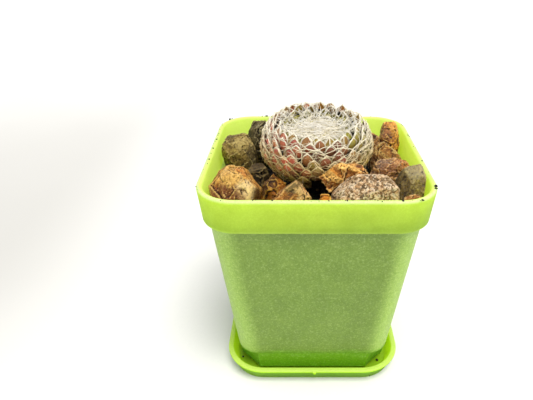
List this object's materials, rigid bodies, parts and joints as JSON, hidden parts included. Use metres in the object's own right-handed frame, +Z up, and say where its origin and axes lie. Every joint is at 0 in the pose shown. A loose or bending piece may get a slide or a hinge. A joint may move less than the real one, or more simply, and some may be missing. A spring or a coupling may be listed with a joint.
{
  "type": "potted cobweb houseleek",
  "caption": "Cobweb houseleek rosette bedded in gravel, in a square tapered plastic nursery pot with a rim band, standing on its saucer.",
  "frame": {"origin": "middle of the saucer's underside, on the surface that it stands on", "axes": "+Z up, -Y towards the front of the pot, where the saucer's moulding nub is, +X to the right seen from the front"},
  "size_m": [0.075, 0.075, 0.093],
  "materials": {
    "lime_plastic": "satin",
    "saucer_plastic": "satin",
    "soil_mix": "matte",
    "leaf": "satin",
    "olive_rock": "matte",
    "slate_rock": "matte",
    "ochre_rock": "matte",
    "amber_rock": "matte",
    "tan_rock": "matte",
    "brown_rock": "matte",
    "granite_rock": "matte"
  },
  "bodies": {
    "root": {"pot": "lime_plastic", "saucer": "saucer_plastic", "soil": "soil_mix", "rosette": "leaf", "stone_olive_block": "olive_rock", "stone_dark_behind": "slate_rock", "stone_ochre_large": "ochre_rock", "stone_ochre_bright": "amber_rock", "stone_dark_left": "slate_rock", "stone_brown_pyramid": "brown_rock", "stone_ochre_small": "amber_rock", "stone_tan_wedge": "tan_rock", "stone_granite": "granite_rock", "stone_dark_egg": "olive_rock", "stone_brown_flat": "brown_rock", "stone_striped": "tan_rock", "stone_orange_back": "amber_rock", "stone_brown_sliver": "brown_rock", "stone_front_corner": "brown_rock", "stone_back_left": "brown_rock", "stone_back_a": "amber_rock", "stone_back_b": "slate_rock", "stone_back_c": "ochre_rock", "stone_back_corner": "granite_rock", "stone_low_right": "brown_rock", "stone_low_front": "slate_rock", "stone_low_left": "brown_rock", "stone_low_middle": "slate_rock"}
  },
  "joints": []
}
